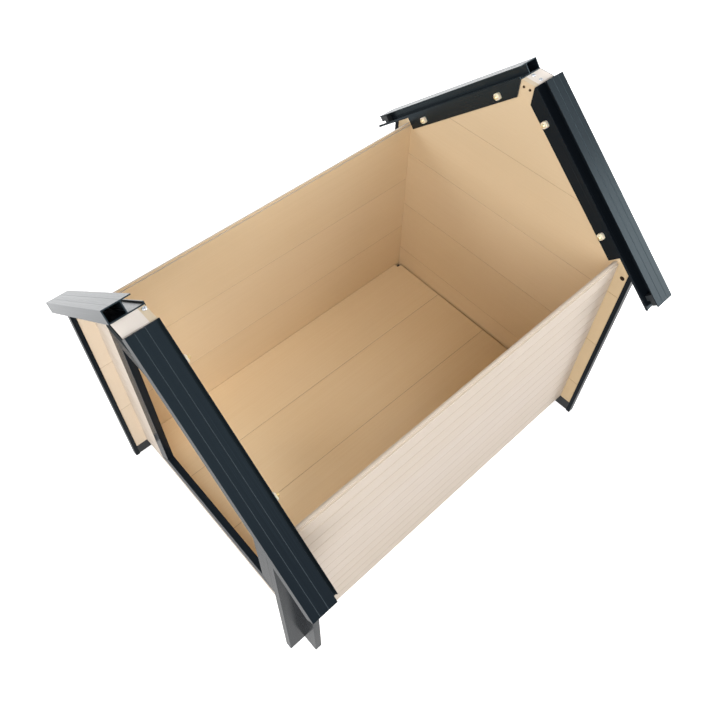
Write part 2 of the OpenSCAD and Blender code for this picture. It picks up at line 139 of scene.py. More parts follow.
def new_material(name: str) -> tuple[bpy.types.Material, bpy.types.NodeTree, bpy.types.Node]:
    """Makes a material with one Principled shader.

    Args:
        name: The material's name.

    Returns:
        The material, its node tree and its shader node.
    """
    material = bpy.data.materials.new(name)
    material.use_nodes = True
    tree = material.node_tree
    tree.nodes.clear()
    shader = add_node(tree, "ShaderNodeBsdfPrincipled")
    add_node(tree, "ShaderNodeOutputMaterial", {"Surface": shader.outputs["BSDF"]})
    return material, tree, shader


def layered(
    tree: bpy.types.NodeTree, ground: Setting, layers: Iterable[tuple[Setting, Setting]]
) -> bpy.types.NodeSocket:
    """Lays colours over a ground colour, one after the other.

    Args:
        tree: The node tree that gets the nodes.
        ground: The colour underneath.
        layers: Share from 0 to 1 and colour of each layer, as values or as the sockets that give them.

    Returns:
        The socket with the finished colour.
    """
    for share, colour in layers:
        ground = add_node(tree, "ShaderNodeMix", {MIX_FACTOR: share, MIX_A: ground, MIX_B: colour},
                          data_type="RGBA").outputs[MIX_RESULT]
    return ground


def surfaced(
    tree: bpy.types.NodeTree,
    shader: bpy.types.Node,
    pattern: bpy.types.NodeSocket,
    span: tuple[float, float],
    rough: tuple[float, float],
    relief: Optional[tuple[bpy.types.NodeSocket, float, float]] = None,
) -> None:
    """Lets a pattern change a shader's roughness, and a relief its shading.

    Args:
        tree: The node tree that gets the nodes.
        shader: The shader that they feed.
        pattern: The pattern's value.
        span: The pattern's lowest and highest value that count.
        rough: Roughness at these two values.
        relief: Height, strength and depth in millimetres of the relief, or None on a smooth surface.
    """
    level = add_node(tree, "ShaderNodeMapRange",
                     {"Value": pattern, "From Min": span[0], "From Max": span[1],
                      "To Min": rough[0], "To Max": rough[1]})
    tree.links.new(level.outputs["Result"], shader.inputs["Roughness"])
    if relief:
        height, strength, depth_mm = relief
        bump = add_node(tree, "ShaderNodeBump",
                        {"Height": height, "Strength": strength, "Distance": mm(depth_mm)})
        tree.links.new(bump.outputs["Normal"], shader.inputs["Normal"])


@dataclass(frozen=True)
class BoardFinish:
    """Wood fibre board, extruded and lightly brushed: even tan, with fibres drawn out along its length."""

    name: str
    along: Axis
    across: Axis
    courses: Axis = Axis.Z
    course_start_mm: float = 40.0
    course_mm: float = 200.0
    # Outer faces: paler than the inner ones as a painted sheen, and greyer as a painted shade against the
    # lamp light on them
    colour: str = "#cdc1b6"
    fibre_colour: str = "#c7b9a8"
    inner_colour: str = "#e2cbaa"
    inner_fibre_colour: str = "#dbc39e"
    edge_colour: str = "#e9d6b6"
    edge_share: float = 0.8
    edge_range: tuple[float, float] = (0.5, 0.3)
    # Painted shade on the slanted sides of joints and grooves, in this colour and by these shares
    joint_shade_colour: str = "#8a6a48"
    joint_slant: tuple[float, float] = (0.72, 0.1)
    outer_joint: float = 0.2
    inner_joint_shade: float = 0.55
    bore_mm: Optional[tuple[float, float, float]] = None
    # Painted shade for the hole walls
    bore_shade_colour: str = "#4a3723"
    # Inner faces past the crossing get a painted tone of their own, painted light by default
    wing_start_mm: Optional[float] = None
    wing_painted_tone: str = "#ead8c0"
    fibre_width_mm: float = 3.0
    fibre_length_mm: float = 420.0
    fibre_range: tuple[float, float] = (0.35, 0.75)
    fibre_share: float = 0.5
    cloud_mm: float = 260.0
    cloud_share: float = 0.25
    plank_share: float = 0.25
    fleck_mm: float = 2.2
    rough: tuple[float, float] = (0.55, 0.67)
    ior: float = 1.49
    specular: float = 0.35
    bump_mm: float = 0.12
    bump_share: float = 0.35

    def build(self) -> bpy.types.Material:
        """Makes the material, with its pattern laid along the board."""
        material, tree, shader = new_material(self.name)
        coords = add_node(tree, "ShaderNodeTexCoord")
        place = coords.outputs["Object"]
        stretch = [1.0 / mm(self.fibre_width_mm)] * 3
        stretch[self.along.value] = 1.0 / mm(self.fibre_length_mm)
        # Fibres are under a millimetre wide on the real board and are drawn wider here, so that they show
        drawn = add_node(tree, "ShaderNodeMapping", {"Vector": place, "Scale": stretch})
        fibre = add_node(tree, "ShaderNodeTexNoise",
                         {"Vector": drawn.outputs["Vector"], "Scale": 1.0, "Detail": 5.0, "Roughness": 0.62})
        fleck = add_node(tree, "ShaderNodeTexNoise",
                         {"Vector": place, "Scale": 1.0 / mm(self.fleck_mm), "Detail": 2.0, "Roughness": 0.6})
        tone = self.shade(tree, place, fibre)
        tree.links.new(self.coloured(tree, coords, tone), shader.inputs["Base Color"])
        height = add_node(tree, "ShaderNodeMath",
                          {0: fibre.outputs["Fac"], 1: fleck.outputs["Fac"]}, operation="ADD")
        surfaced(tree, shader, fibre.outputs["Fac"], MIDDLE, self.rough,
                 (height.outputs["Value"], self.bump_share, self.bump_mm))
        shader.inputs["IOR"].default_value = self.ior
        shader.inputs["Specular IOR Level"].default_value = self.specular
        return material

    def coloured(
        self, tree: bpy.types.NodeTree, coords: bpy.types.Node, tone: bpy.types.NodeSocket
    ) -> bpy.types.NodeSocket:
        """Adds the colours of the faces, the sawn edges, the joints and the holes.

        Args:
            tree: The node tree that gets the nodes.
            coords: The place on the board and its direction there.
            tone: 0 where the board is palest and 1 where it is darkest.

        Returns:
            The board's colour.
        """
        where = add_node(tree, "ShaderNodeSeparateXYZ", {"Vector": coords.outputs["Object"]})
        normal = add_node(tree, "ShaderNodeSeparateXYZ", {"Vector": coords.outputs["Normal"]})
        turned = normal.outputs[self.across.value]
        facing = add_node(tree, "ShaderNodeMath", {0: turned}, operation="ABSOLUTE").outputs["Value"]
        away = add_node(tree, "ShaderNodeMath", {0: where.outputs[self.across.value], 1: turned},
                        operation="MULTIPLY")
        inside = add_node(tree, "ShaderNodeMath", {0: away.outputs["Value"], 1: 0.0},
                          operation="LESS_THAN").outputs["Value"]
        sawn = add_node(tree, "ShaderNodeMapRange",
                        {"Value": facing, "From Min": self.edge_range[0], "From Max": self.edge_range[1],
                         "To Min": 0.0, "To Max": self.edge_share})
        slanted = add_node(tree, "ShaderNodeMath",
                           {0: facing, 1: self.joint_slant[0], 2: self.joint_slant[1]}, operation="COMPARE")
        depth = add_node(tree, "ShaderNodeMapRange",
                         {"Value": inside, "To Min": self.outer_joint, "To Max": self.inner_joint_shade})
        deep = add_node(tree, "ShaderNodeMath", {0: slanted.outputs["Value"], 1: depth.outputs["Result"]},
                        operation="MULTIPLY")
        # The outer faces are painted paler and greyer than the inner ones, a painted sheen and a painted
        # shade that evens out the lamp light on them, and the inner ones keep the richer tone of the pressed
        # skin
        inner_layers = [(tone, linear(self.inner_fibre_colour))]
        # Past the crossing the inner faces take their painted tone: painted light on the side walls, painted
        # shade on the gables
        if self.wing_start_mm:
            inner_layers.append((self.past_corner(tree, where), linear(self.wing_painted_tone)))
        inner = layered(tree, linear(self.inner_colour), inner_layers)
        # Sawn edges and ends show the board's core, a little yellower than its faces, and the slanted sides
        # of the joints and of the fine grooves get a painted shade
        layers = [(tone, linear(self.fibre_colour)), (inside, inner),
                  (sawn.outputs["Result"], linear(self.edge_colour)),
                  (deep.outputs["Value"], linear(self.joint_shade_colour))]
        # The holes get a painted shade
        if self.bore_mm:
            layers.append((self.bored(tree, where), linear(self.bore_shade_colour)))
        return layered(tree, linear(self.colour), layers)

    def past_corner(self, tree: bpy.types.NodeTree, where: bpy.types.Node) -> bpy.types.NodeSocket:
        """Adds nodes that find the plank's ends past the crossing, whose inner faces get a painted tone:
        painted light on the side walls, painted shade under the rails on the gables.

        Args:
            tree: The node tree that gets the nodes.
            where: The place on the board, taken apart.

        Returns:
            1 past the crossing and 0 in the room.
        """
        size = add_node(tree, "ShaderNodeMath", {0: where.outputs[self.along.value]}, operation="ABSOLUTE")
        return add_node(tree, "ShaderNodeMath", {0: size.outputs["Value"], 1: mm(self.wing_start_mm)},
                        operation="GREATER_THAN").outputs["Value"]

    def bored(self, tree: bpy.types.NodeTree, where: bpy.types.Node) -> bpy.types.NodeSocket:
        """Adds nodes that find the walls of the drilled holes and a thin ring round them, which get a painted
        shade.

        Args:
            tree: The node tree that gets the nodes.
            where: The place on the board, taken apart.

        Returns:
            1 in a hole and 0 elsewhere.
        """
        x, z, radius = (mm(length) for length in self.bore_mm)
        level = add_node(tree, "ShaderNodeMath", {0: where.outputs["X"]}, operation="ABSOLUTE")
        flat = add_node(tree, "ShaderNodeCombineXYZ", {"X": level.outputs["Value"], "Z": where.outputs["Z"]})
        far = add_node(tree, "ShaderNodeVectorMath", {0: flat.outputs["Vector"], 1: (x, 0.0, z)},
                       operation="DISTANCE")
        return add_node(tree, "ShaderNodeMath", {0: far.outputs["Value"], 1: radius},
                        operation="LESS_THAN").outputs["Value"]

    def shade(
        self, tree: bpy.types.NodeTree, place: bpy.types.NodeSocket, fibre: bpy.types.Node
    ) -> bpy.types.NodeSocket:
        """Adds the darker streaks, soft clouds and the small difference in tone from plank to plank.

        Args:
            tree: The node tree that gets the nodes.
            place: The place on the board.
            fibre: The noise that draws the fibres.

        Returns:
            A value from 0, where the board is palest, to 1.
        """
        cloud = add_node(tree, "ShaderNodeTexNoise",
                         {"Vector": place, "Scale": 1.0 / mm(self.cloud_mm), "Detail": 2.0, "Roughness": 0.5})
        streak = add_node(tree, "ShaderNodeMapRange",
                          {"Value": fibre.outputs["Fac"], "From Min": self.fibre_range[0],
                           "From Max": self.fibre_range[1], "To Min": 0.0, "To Max": self.fibre_share})
        tone = add_node(tree, "ShaderNodeMapRange",
                        {"Value": cloud.outputs["Fac"], "From Min": MIDDLE[0], "From Max": MIDDLE[1],
                         "To Min": 0.0, "To Max": self.cloud_share})
        where = add_node(tree, "ShaderNodeSeparateXYZ", {"Vector": place})
        rise = add_node(tree, "ShaderNodeMath",
                        {0: where.outputs[self.courses.value], 1: mm(self.course_start_mm)},
                        operation="SUBTRACT")
        count = add_node(tree, "ShaderNodeMath", {0: rise.outputs["Value"], 1: mm(self.course_mm)},
                         operation="DIVIDE")
        number = add_node(tree, "ShaderNodeMath", {0: count.outputs["Value"]}, operation="FLOOR")
        lot = add_node(tree, "ShaderNodeTexWhiteNoise", {"W": number.outputs["Value"]}, noise_dimensions="1D")
        plank = add_node(tree, "ShaderNodeMath",
                         {0: lot.outputs["Value"], 1: self.plank_share, 2: streak.outputs["Result"]},
                         operation="MULTIPLY_ADD")
        return add_node(tree, "ShaderNodeMath", {0: plank.outputs["Value"], 1: tone.outputs["Result"]},
                        operation="ADD", use_clamp=True).outputs["Value"]


@dataclass(frozen=True)
class CoatedProfile:
    """Extruded aluminium with a satin powder coat: fine die lines along it and a faint orange peel."""

    name: str
    along: Axis
    slope_deg: float = 0.0
    colour: str = "#161b21"
    line_colour: str = "#191f25"
    # Blue tint of the gloss, a painted reflection colour
    painted_reflection_tint: str = "#caf1ff"
    # Lighter colour of the painted highlight on edges and groove sides
    edge_colour: str = "#5f6a70"
    edge_share: float = 0.15
    edge_range: tuple[float, float] = (0.88, 0.74)
    die_line_mm: float = 2.4
    die_length_mm: float = 520.0
    die_range: tuple[float, float] = (0.4, 0.72)
    peel_mm: float = 1.6
    rough: tuple[float, float] = (0.24, 0.28)
    ior: float = 1.52
    specular: float = 0.06
    bump_mm: float = 0.012
    bump_share: float = 0.3

    def build(self) -> bpy.types.Material:
        """Makes the material, with its die lines laid along the profile."""
        material, tree, shader = new_material(self.name)
        coords = add_node(tree, "ShaderNodeTexCoord")
        place = coords.outputs["Object"]
        slope = (0.0, math.radians(self.slope_deg), 0.0)
        turned = add_node(tree, "ShaderNodeMapping", {"Vector": place, "Rotation": slope})
        stretch = [1.0 / mm(self.die_line_mm)] * 3
        stretch[self.along.value] = 1.0 / mm(self.die_length_mm)
        # Die lines are a few tenths of a millimetre apart on the real profile and are drawn wider here
        drawn = add_node(tree, "ShaderNodeMapping", {"Vector": turned.outputs["Vector"], "Scale": stretch})
        lines = add_node(tree, "ShaderNodeTexNoise",
                         {"Vector": drawn.outputs["Vector"], "Scale": 1.0, "Detail": 4.0, "Roughness": 0.65})
        peel = add_node(tree, "ShaderNodeTexNoise",
                        {"Vector": place, "Scale": 1.0 / mm(self.peel_mm), "Detail": 1.0})
        streak = add_node(tree, "ShaderNodeMapRange",
                          {"Value": lines.outputs["Fac"], "From Min": self.die_range[0],
                           "From Max": self.die_range[1]})
        # Rounded edges and groove sides get a painted highlight
        edge_glint = self.painted_edge_highlight(tree, coords.outputs["Normal"], slope)
        colour = layered(tree, linear(self.colour), [(streak.outputs["Result"], linear(self.line_colour)),
                                                     (edge_glint, linear(self.edge_colour))])
        tree.links.new(colour, shader.inputs["Base Color"])
        height = add_node(tree, "ShaderNodeMath",
                          {0: lines.outputs["Fac"], 1: peel.outputs["Fac"]}, operation="ADD")
        surfaced(tree, shader, lines.outputs["Fac"], MIDDLE, self.rough,
                 (height.outputs["Value"], self.bump_share, self.bump_mm))
        shader.inputs["IOR"].default_value = self.ior
        shader.inputs["Specular IOR Level"].default_value = self.specular
        # The gloss takes a blue tint, a painted reflection colour
        shader.inputs["Specular Tint"].default_value = linear(self.painted_reflection_tint)
        return material

    def painted_edge_highlight(
        self, tree: bpy.types.NodeTree, normal: bpy.types.NodeSocket, slope: tuple[float, float, float]
    ) -> bpy.types.NodeSocket:
        """Adds nodes that find the rounded edges and the slanted sides of grooves, which get a lighter colour
        as a painted highlight.

        Args:
            tree: The node tree that gets the nodes.
            normal: The surface's direction.
            slope: Turn that lays the profile level.

        Returns:
            How much of the painted highlight shows, 0 on the flat faces.
        """
        level = add_node(tree, "ShaderNodeMapping", {"Vector": normal, "Rotation": slope})
        size = add_node(tree, "ShaderNodeVectorMath", {0: level.outputs["Vector"]}, operation="ABSOLUTE")
        part = add_node(tree, "ShaderNodeSeparateXYZ", {"Vector": size.outputs["Vector"]})
        wider = add_node(tree, "ShaderNodeMath", {0: part.outputs["X"], 1: part.outputs["Y"]},
                         operation="MAXIMUM")
        widest = add_node(tree, "ShaderNodeMath", {0: wider.outputs["Value"], 1: part.outputs["Z"]},
                          operation="MAXIMUM")
        return add_node(tree, "ShaderNodeMapRange",
                        {"Value": widest.outputs["Value"], "From Min": self.edge_range[0],
                         "From Max": self.edge_range[1], "To Min": 0.0,
                         "To Max": self.edge_share}).outputs["Result"]


@dataclass(frozen=True)
class MouldedPlastic:
    """Injection moulded plastic with a fine spark-eroded grain."""

    name: str
    colour: str
    grain_colour: str
    grain_mm: float = 1.1
    rough: tuple[float, float] = (0.44, 0.56)
    ior: float = 1.5
    bump_mm: float = 0.08
    bump_share: float = 0.4
    subsurface: float = 0.0
    subsurface_mm: float = 2.0

    def build(self) -> bpy.types.Material:
        """Makes the material."""
        material, tree, shader = new_material(self.name)
        place = add_node(tree, "ShaderNodeTexCoord").outputs["Object"]
        grain = add_node(tree, "ShaderNodeTexNoise",
                         {"Vector": place, "Scale": 1.0 / mm(self.grain_mm), "Detail": 3.0, "Roughness": 0.6})
        colour = layered(tree, linear(self.colour), [(grain.outputs["Fac"], linear(self.grain_colour))])
        tree.links.new(colour, shader.inputs["Base Color"])
        surfaced(tree, shader, grain.outputs["Fac"], WHOLE, self.rough,
                 (grain.outputs["Fac"], self.bump_share, self.bump_mm))
        shader.inputs["IOR"].default_value = self.ior
        if self.subsurface:
            shader.inputs["Subsurface Weight"].default_value = self.subsurface
            shader.inputs["Subsurface Scale"].default_value = mm(self.subsurface_mm)
        return material


@dataclass(frozen=True)
class PlatedSteel:
    """Plated steel, tumbled before plating: bright, with soft cloudy roughness."""

    name: str
    colour: str
    cloud_colour: str
    cloud_mm: float = 2.5
    rough: tuple[float, float] = (0.2, 0.42)

    def build(self) -> bpy.types.Material:
        """Makes the material."""
        material, tree, shader = new_material(self.name)
        place = add_node(tree, "ShaderNodeTexCoord").outputs["Object"]
        cloud = add_node(tree, "ShaderNodeTexNoise",
                         {"Vector": place, "Scale": 1.0 / mm(self.cloud_mm), "Detail": 3.0})
        colour = layered(tree, linear(self.colour), [(cloud.outputs["Fac"], linear(self.cloud_colour))])
        tree.links.new(colour, shader.inputs["Base Color"])
        surfaced(tree, shader, cloud.outputs["Fac"], WHOLE, self.rough)
        shader.inputs["Metallic"].default_value = 1.0
        return material


@dataclass
class House:
    """Sizes in millimetres that place finishes and fasteners, the same as in the part's source."""

    inner_w: float = 700.0
    inner_l: float = 1008.0
    plank_t: float = 14.0
    plank_h: float = 200.0
    foot_h: float = 40.0
    side_courses: int = 3
    tongue_h: float = 5.5
    roof_pitch: float = 41.0
    eave_gap: float = 23.5
    apex_flat: float = 37.0
    rail_apex: float = 27.0
    rail_out: float = 54.5
    rail_wall: float = 2.5
    rail_flange: float = 35.0
    flange_gap: float = 12.0
    bolt_gauge: float = 19.0
    bolt_top: float = 86.0
    bolt_eave: float = 66.0
    apex_head: float = 10.0
    apex_screw_x: float = 11.0
    block_screw_pitch: float = 18.0
    block_screw_drop: float = 15.0
    wing: float = 44.0
    wing_hole_drop: float = 32.0

    @property
    def pitch(self) -> float:
        """Roof pitch in radians."""
        return math.radians(self.roof_pitch)

    @property
    def side_out(self) -> float:
        """Distance from the middle to a side wall's outer face."""
        return self.inner_w / 2.0 + self.plank_t

    @property
    def gable_out(self) -> float:
        """Distance from the middle to a gable's outer face."""
        return self.inner_l / 2.0 + self.plank_t

    def roof_z(self, x: float) -> float:
        """Height of the roof line at a distance from the middle."""
        wall_top = self.foot_h + self.side_courses * self.plank_h + self.tongue_h
        return wall_top + self.eave_gap + (self.inner_w / 2 - abs(x)) * math.tan(self.pitch)

    def wing_hole(self) -> tuple[float, float]:
        """Place of the open hole in each gable's wing, as distance from the middle and height."""
        x = self.side_out + self.wing / 2.0
        return x, self.roof_z(x) - self.wing_hole_drop

    def apex_z(self) -> float:
        """Height of the flat on top of each gable."""
        return self.roof_z(self.apex_flat / 2)

    def bolt_spots(self) -> list[tuple[float, float]]:
        """Places of one rail's bolts, as distance from the middle and height."""
        sine, cosine = math.sin(self.pitch), math.cos(self.pitch)
        flange_end = (self.inner_w / 2 - self.flange_gap + self.rail_flange * sine) / cosine
        spots = []
        for run in (self.rail_apex + self.bolt_top, flange_end - self.bolt_eave):
            x = run * cosine - self.bolt_gauge * sine
            spots.append((x, self.roof_z(0.0) - run * sine - self.bolt_gauge * cosine))
        return spots

    def apex_spots(self) -> list[tuple[float, float]]:
        """Places of the short screws: one on the front gable's flat top, two on the back block."""
        front = -(self.inner_l + self.apex_head) / 2.0
        back = self.gable_out + self.rail_out / 3.0
        return [(-self.apex_screw_x, front), (-self.apex_screw_x, back), (self.apex_screw_x, back)]


def scene_object(name: str, data: bpy.types.ID) -> bpy.types.Object:
    """Links a mesh, lamp or camera to the scene as an object at the origin.

    Args:
        name: The object's name.
        data: The mesh, lamp or camera.

    Returns:
        The new object.
    """
    thing = bpy.data.objects.new(name, data)
    bpy.context.scene.collection.objects.link(thing)
    return thing


def running_normals(work: bmesh.types.BMesh) -> list[Vector]:
    """Works out shading in which flat faces stay flat and a rounding runs from one flat face to the next.

    Args:
        work: A mesh whose roundings are marked smooth and whose flat faces aren't.

    Returns:
        One normal for each corner of each face, in the mesh's order.
    """
    normals = []
    for face in work.faces:
        for corner in face.loops:
            around = corner.vert.link_faces
            flats = [f.normal for f in around if not f.smooth]
            if not face.smooth:
                normals.append(face.normal.copy())
            elif flats:
                normals.append(max(flats, key=face.normal.dot).copy())
            else:
                normals.append(sum((f.normal for f in around), Vector()).normalized())
    return normals


def rounded_copy(node: str, radius_mm: float, segments: int = 3) -> bpy.types.Mesh:
    """Copies a CAD node's mesh and rounds its outer edges.

    Args:
        node: The CAD node's name.
        radius_mm: Radius of the rounding.
        segments: Facets across the rounding.

    Returns:
        A new mesh with the same place and size.
    """
    work = bmesh.new()
    work.from_mesh(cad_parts[node].data)
    bmesh.ops.remove_doubles(work, verts=work.verts, dist=mm(WELD_MM))
    bmesh.ops.dissolve_limit(work, angle_limit=FLAT, verts=work.verts, edges=work.edges)
    for face in work.faces:
        face.smooth = False
    outer = [edge for edge in work.edges
             if len(edge.link_faces) == 2 and edge.is_convex and edge.calc_face_angle() > SHARP]
    rounding = bmesh.ops.bevel(work, geom=outer, offset=mm(radius_mm), offset_type="OFFSET",
                               segments=segments, profile=0.5, affect="EDGES", clamp_overlap=True)
    for face in rounding["faces"]:
        face.smooth = True
    bmesh.ops.triangulate(work, faces=[f for f in work.faces if len(f.verts) > 4])
    work.normal_update()
    normals = running_normals(work)
    mesh = bpy.data.meshes.new(node)
    work.to_mesh(mesh)
    work.free()
    mesh.polygons.foreach_set("use_smooth", [True] * len(mesh.polygons))
    mesh.normals_split_custom_set(normals)
    return mesh


def circle(radius: float, height: float, count: int) -> Ring:
    """A ring of points about the Z axis, in millimetres."""
    return [Vector((radius * math.cos(a), radius * math.sin(a), height))
            for a in (2.0 * math.pi * i / count for i in range(count))]


def polar_ring(reach: Callable[[float], float], height: float, count: int) -> Ring:
    """A ring of points whose distance from the Z axis follows a rule.

    Args:
        reach: Angle to distance, in millimetres.
        height: Height of the ring.
        count: Number of points.

    Returns:
        The ring's points, in millimetres.
    """
    angles = [2.0 * math.pi * (i + 0.5) / count for i in range(count)]
    return [Vector((reach(a) * math.cos(a), reach(a) * math.sin(a), height)) for a in angles]


def rings_to_mesh(name: str, rings: Sequence[Ring], bored: bool = False) -> bpy.types.Mesh:
    """Joins rings of points into a skin.

    Args:
        name: The mesh's name.
        rings: Rings with the same number of points, in millimetres.
        bored: True to join the last ring to the first, in place of a cap on each.

    Returns:
        A closed mesh in metres, with its faces outwards.
    """
    work = bmesh.new()
    loops = [[work.verts.new(point / 1000.0) for point in ring] for ring in rings]
    count = len(loops[0])
    if bored:
        loops.append(loops[0])
    else:
        work.faces.new(loops[0])
        work.faces.new(loops[-1])
    for low, high in zip(loops, loops[1:]):
        for i in range(count):
            j = (i + 1) % count
            work.faces.new((low[i], low[j], high[j], high[i]))
    bmesh.ops.recalc_face_normals(work, faces=work.faces)
    mesh = bpy.data.meshes.new(name)
    work.to_mesh(mesh)
    work.free()
    mesh.polygons.foreach_set("use_smooth", [True] * len(mesh.polygons))
    mesh.set_sharp_from_angle(angle=SMOOTH)
    return mesh


@dataclass
class SquareNut:
    """Moulded square nut with round corners and a soft top edge, bored through for its bolt."""

    width: float = 17.0
    height: float = 8.0
    corner: float = 5.0
    bore: float = 4.15
    edge: float = 1.6
    points: int = 64

    def reach(self, inset: float) -> Callable[[float], float]:
        """Distance from the axis to the side of the nut, drawn in by an inset.

        Args:
            inset: How far the outline is drawn in.

        Returns:
            Angle to distance.
        """
        half = self.width / 2.0 - inset
        radius = max(self.corner - inset, 0.5)
        core = half - radius

        def distance(angle: float) -> float:
            """Distance along one angle."""
            c, s = abs(math.cos(angle)), abs(math.sin(angle))
            straight = half / max(c, s)
            if min(c, s) * straight <= core:
                return straight
            along = core * (c + s)
            return along + math.sqrt(max(along * along - 2.0 * core * core + radius * radius, 0.0))

        return distance

    def build(self) -> bpy.types.Mesh:
        """Makes the nut, with its seat on Z = 0."""
        top = self.height
        steps = [(0.0, 0.0), (top - self.edge, 0.0)]
        for angle in (30.0, 60.0, 90.0):
            turn = math.radians(angle)
            steps.append((top - self.edge * (1.0 - math.sin(turn)), self.edge * (1.0 - math.cos(turn))))
        rings = [polar_ring(self.reach(inset), height, self.points) for height, inset in steps]
        rings += [polar_ring(lambda _: self.bore, height, self.points) for height in (top, 0.0)]
        return rings_to_mesh("square_nut", rings, bored=True)


@dataclass
class CupBolt:
    """Carriage bolt: a low domed head, a plain shank and rolled thread towards its end."""

    head: float = 18.0
    head_h: float = 4.5
    shank: float = 8.0
    reach: float = 30.5
    chamfer: float = 0.9
    thread: float = 13.0
    thread_pitch: float = 1.25
    thread_depth: float = 0.55
    root_at: float = 0.45
    crest_at: float = 0.95
    dome_steps: int = 6
    dome_step_deg: float = 13.0
    points: int = 32

    def build(self) -> bpy.types.Mesh:
        """Makes the bolt, with its head above Z = 0 and its shank below."""
        radius = self.shank / 2.0
        start = -self.reach + self.chamfer
        rings = [circle(radius - self.chamfer, -self.reach, self.points), circle(radius, start, self.points)]
        for turn in range(int(self.thread / self.thread_pitch)):
            low = start + turn * self.thread_pitch
            root, crest = (low + share * self.thread_pitch for share in (self.root_at, self.crest_at))
            rings.append(circle(radius - self.thread_depth, root, self.points))
            rings.append(circle(radius, crest, self.points))
        rings.append(circle(radius, 0.0, self.points))
        rings.append(circle(self.head / 2.0, 0.0, self.points))
        for step in range(1, self.dome_steps + 1):
            turn = math.radians(self.dome_step_deg * step)
            rings.append(circle(self.head / 2.0 * math.cos(turn), self.head_h * math.sin(turn), self.points))
        return rings_to_mesh("cup_bolt", rings)


@dataclass
class CrossScrew:
    """Pan head screw with a cross recess and a coarse thread."""

    head: float = 8.0
    head_h: float = 2.6
    shank: float = 4.0
    length: float = 9.0
    plain: float = 2.0
    tip: float = 0.3
    tip_length: float = 1.2
    neck: float = 0.4
    thread_pitch: float = 1.6
    thread_depth: float = 0.5
    dome_steps: int = 4
    dome_step_deg: float = 16.0
    dome_flat: float = 0.3
    arm: float = 2.4
    arm_half_width: float = 0.55
    lip: float = 0.35
    recess: float = 1.5
    recess_floor: float = 0.55
    points: int = 48

    def cross(self, scale: float) -> Callable[[float], float]:
        """Outline of the recess.

        Args:
            scale: Size of the outline against the recess's mouth.

        Returns:
            Angle to distance.
        """
        def distance(angle: float) -> float:
            """Distance along one angle."""
            turn = (angle + math.pi / 4.0) % (math.pi / 2.0) - math.pi / 4.0
            side = self.arm_half_width / max(abs(math.sin(turn)), 1e-6)
            return scale * min(self.arm / math.cos(turn), side)

        return distance

    def build(self) -> bpy.types.Mesh:
        """Makes the screw, with its head above Z = 0 and its shank below."""
        crest, rim = self.shank / 2.0, self.head / 2.0
        core = crest - self.thread_depth
        steps = [(self.tip, -self.length)]
        for turn in range(max(int((self.length - self.plain) / self.thread_pitch), 1)):
            low = -self.length + self.tip_length + turn * self.thread_pitch
            steps += [(core, low), (crest, low + 0.5 * self.thread_pitch)]
        steps += [(core, -self.neck), (core, 0.0), (rim, 0.0)]
        for step in range(1, self.dome_steps + 1):
            turn = math.radians(self.dome_step_deg * step)
            reach = rim * (self.dome_flat + (1.0 - self.dome_flat) * math.cos(turn))
            steps.append((reach, self.head_h * math.sin(turn)))
        steps.append((self.arm + self.lip, self.head_h))
        rings = [polar_ring(lambda _, r=reach: r, height, self.points) for reach, height in steps]
        rings.append(polar_ring(self.cross(1.0), self.head_h, self.points))
        rings.append(polar_ring(self.cross(self.recess_floor), self.head_h - self.recess, self.points))
        return rings_to_mesh("cross_screw", rings)


